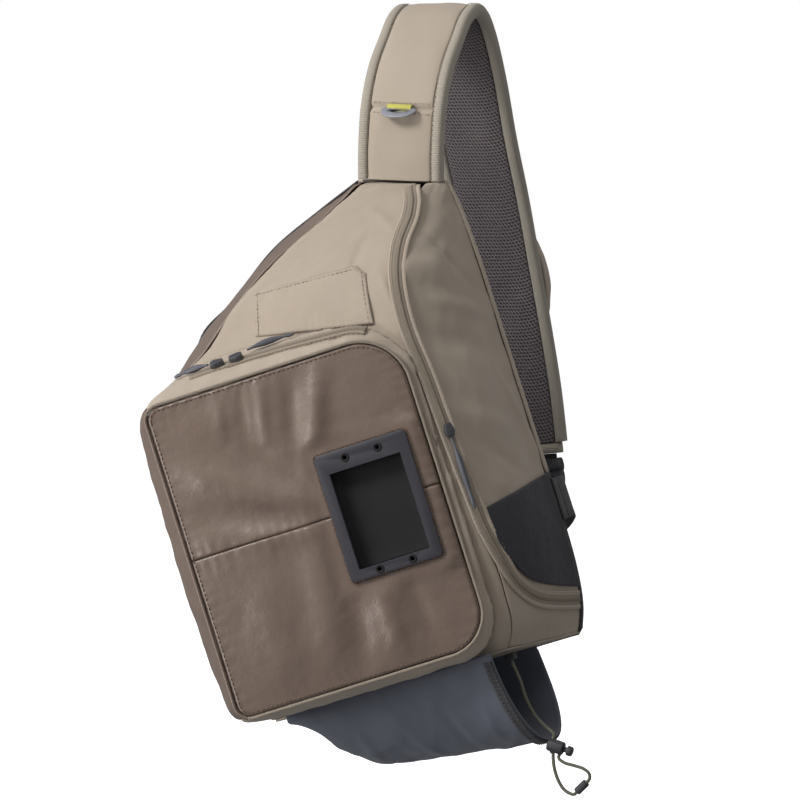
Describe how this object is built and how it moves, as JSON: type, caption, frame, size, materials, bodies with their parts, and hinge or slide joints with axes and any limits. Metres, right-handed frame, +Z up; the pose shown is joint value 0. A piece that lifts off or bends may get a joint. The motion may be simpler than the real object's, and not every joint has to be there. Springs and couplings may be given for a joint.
{
  "type": "fishing tackle sling bag",
  "caption": "One-shoulder fishing sling bag, hung by its padded strap, with a zipped main bag, a front pocket with a tool dock, a side fly patch and a bottle sleeve under it.",
  "frame": {"origin": "the underside of the shoulder strap's crown, where a hook would carry the bag", "axes": "+Z up, +X to the right of someone who looks at the bag's front, -Y out of its front; the bag hangs with its length leaning 19 degrees to the left in the X-Z plane"},
  "size_m": [0.4182, 0.4338, 0.6952],
  "materials": {
    "tan_cloth": "matt woven nylon, warm grey-tan",
    "brown_coated": "coated nylon, soft satin sheen, taupe brown",
    "charcoal_cloth": "matt charcoal cloth",
    "slate_cloth": "matt slate-grey cloth",
    "dark_mesh": "dark open spacer mesh",
    "grey_binding": "fine woven binding, light grey-tan",
    "moulded_grey": "moulded dark grey, matt",
    "grey_hardware": "mid grey, matt",
    "olive_cord": "braided sleeve, olive grey",
    "lime_tape": "woven tape, yellow-green"
  },
  "bodies": {
    "bag": {"main_panel": "tan_cloth", "side_door": "tan_cloth", "lower_side_panel": "tan_cloth", "base_panel": "tan_cloth", "pocket_gusset": "tan_cloth", "pocket_piping": "tan_cloth", "main_zip_tape": "tan_cloth", "stash_panel": "tan_cloth", "pocket_zip_tape": "tan_cloth", "strap_pad": "tan_cloth", "strap_pouch": "tan_cloth", "left_panel": "brown_coated", "pocket_front": "brown_coated", "pocket_side_gusset": "brown_coated", "back_panel": "charcoal_cloth", "fly_patch": "charcoal_cloth", "webbing_tab": "charcoal_cloth", "strap_end_webbing": "charcoal_cloth", "lower_webbing": "charcoal_cloth", "bottle_sleeve": "slate_cloth", "sleeve_hem": "slate_cloth", "cord_anchor": "slate_cloth", "strap_mesh": "dark_mesh", "strap_binding_left": "grey_binding", "strap_binding_right": "grey_binding", "strap_end_binding": "grey_binding", "tool_dock": "moulded_grey", "buckle_plug": "moulded_grey", "buckle_socket": "moulded_grey", "cord_lock_barrel": "moulded_grey", "cord_end": "moulded_grey", "main_zip_slider": "grey_hardware", "main_zip_pull": "grey_hardware", "pocket_zip_slider_a": "grey_hardware", "pocket_zip_slider_b": "grey_hardware", "pocket_zip_pull_a": "grey_hardware", "pocket_zip_pull_b": "grey_hardware", "shock_cord_stretch": "olive_cord", "shock_cord_out": "olive_cord", "shock_cord_back": "olive_cord", "keeper_tab": "lime_tape"},
    "ring": {"keeper_ring": "grey_hardware"},
    "lock_button": {"cord_lock_button": "moulded_grey"}
  },
  "joints": [
    {"name": "ring_swing", "type": "hinge", "parent": "bag", "child": "ring", "pos_m": [-0.0001, -0.08539, -0.08298], "axis": [0.9992, -0.0076, -0.0404], "range_deg": [-70, 40]},
    {"name": "lock_button_press", "type": "slide", "parent": "bag", "child": "lock_button", "axis": [-0.9651, 0, 0.262], "range_m": [0, 0.003], "stiffness_N_per_m": 300}
  ]
}
